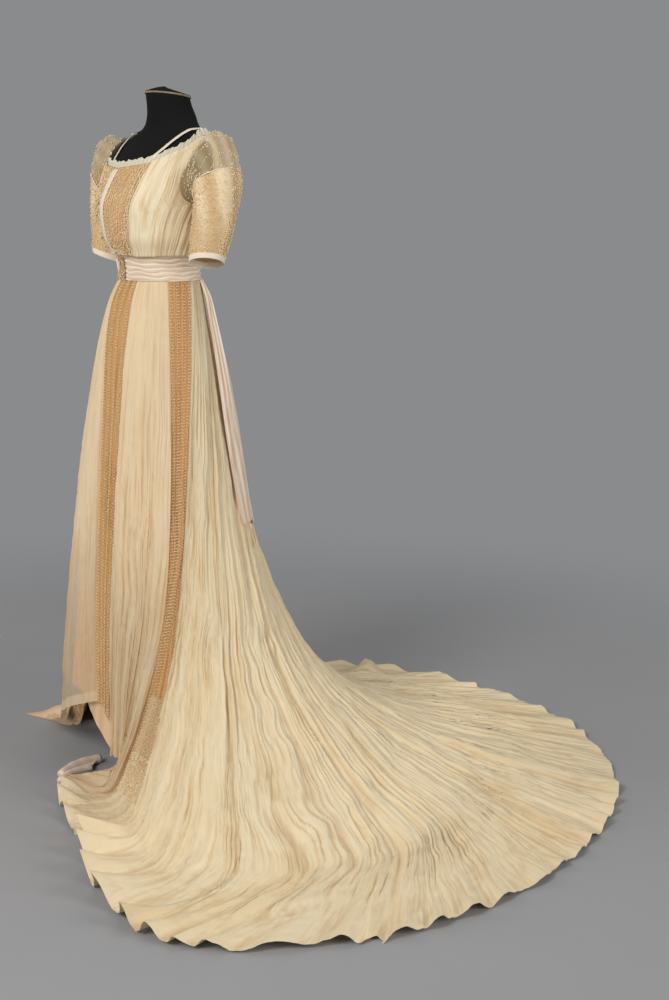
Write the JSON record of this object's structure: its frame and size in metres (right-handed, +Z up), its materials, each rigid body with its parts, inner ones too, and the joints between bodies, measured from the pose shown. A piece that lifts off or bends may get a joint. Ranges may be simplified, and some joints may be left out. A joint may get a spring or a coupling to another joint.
{
  "type": "wedding dress on a dress form",
  "caption": "Beaded silk chiffon wedding dress with short net sleeves, satin belt and sash and a long swept train, worn on a limbless dress form.",
  "frame": {"origin": "centre of the underside of the dress form's round base, at floor level", "axes": "+Z up, -Y the way the wearer faces, +X the wearer's left, where the train is swept"},
  "size_m": [1.569, 1.4838, 1.5045],
  "materials": {
    "chiffon": "matte crinkled silk chiffon",
    "beaded_net": "net over peach silk with glass beads and pearls",
    "sheer_net": "sheer net with pearls",
    "satin": "satin",
    "peach_satin": "satin",
    "form_cover": "matte black cover",
    "neck_cap": "satin",
    "stand_metal": "satin"
  },
  "bodies": {
    "root": {"bodice_front_left": "chiffon", "bodice_front_right": "chiffon", "bodice_back_left": "chiffon", "bodice_back_right": "chiffon", "skirt_front_left": "chiffon", "skirt_front_right": "chiffon", "train_foot_left": "chiffon", "train_side_left": "chiffon", "train_back_left": "chiffon", "train_back_right": "chiffon", "train_side_right": "chiffon", "bodice_beaded_panel": "beaded_net", "bodice_panel_tail": "beaded_net", "sleeve_lined_left": "beaded_net", "sleeve_lined_right": "beaded_net", "skirt_band_front": "beaded_net", "skirt_band_left": "beaded_net", "skirt_band_right": "beaded_net", "lace_patch_left": "beaded_net", "lace_patch_right": "beaded_net", "sleeve_net_left": "sheer_net", "sleeve_net_right": "sheer_net", "neck_edging": "sheer_net", "sash_tassel": "sheer_net", "bodice_satin_strip": "satin", "strap_left": "satin", "strap_right": "satin", "sleeve_band_left": "satin", "sleeve_band_right": "satin", "belt": "satin", "belt_loop": "satin", "sash_near": "satin", "sash_far": "satin", "satin_roll_upper": "satin", "satin_roll_lower": "satin", "satin_underskirt": "peach_satin", "satin_corner": "peach_satin", "form_torso": "form_cover", "form_neck_cap": "neck_cap", "form_pole": "stand_metal", "form_base": "stand_metal"}
  },
  "joints": []
}
